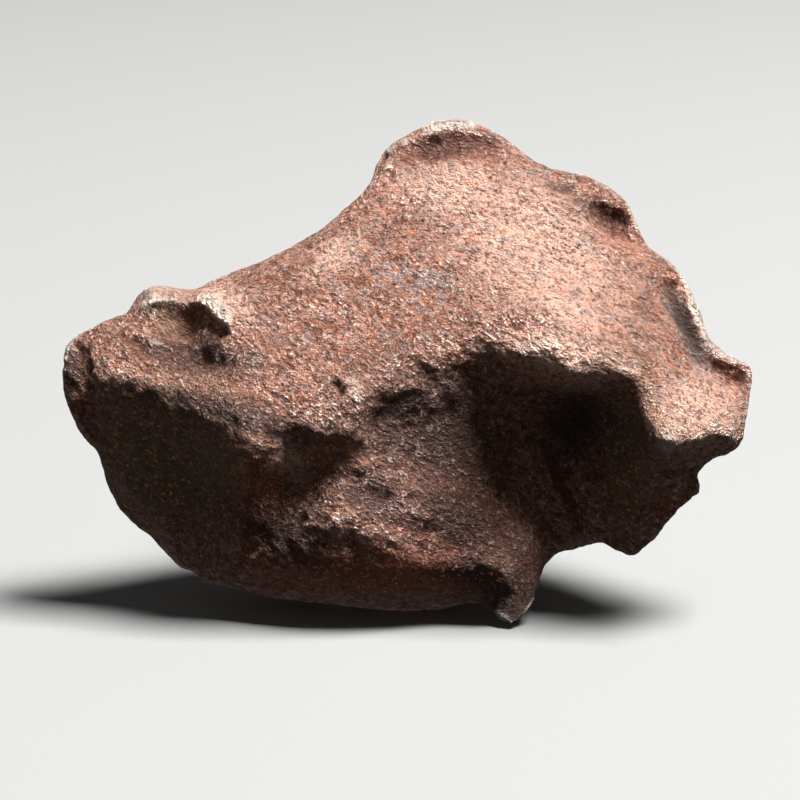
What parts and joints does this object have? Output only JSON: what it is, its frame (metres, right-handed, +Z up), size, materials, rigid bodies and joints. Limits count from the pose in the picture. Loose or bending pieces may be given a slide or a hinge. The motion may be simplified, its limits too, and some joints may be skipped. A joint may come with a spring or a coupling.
{
  "type": "iron meteorite",
  "caption": "Jagged, wedge-shaped lump of nickel-iron with thumbprint hollows, sharp crests and a thin brown rust skin, standing on a small flat spot.",
  "frame": {"origin": "centre of the bounding box at the floor, where the lump stands on its flat spot", "axes": "+X along the broad face from the rounded end to the pointed nose, +Y from the broad face to the back, +Z up"},
  "size_m": [0.0424, 0.018, 0.0295],
  "materials": {
    "rusted_iron": "thin brown rust over dull metal, brighter on worn crests"
  },
  "bodies": {
    "root": {"meteorite": "rusted_iron"}
  },
  "joints": []
}
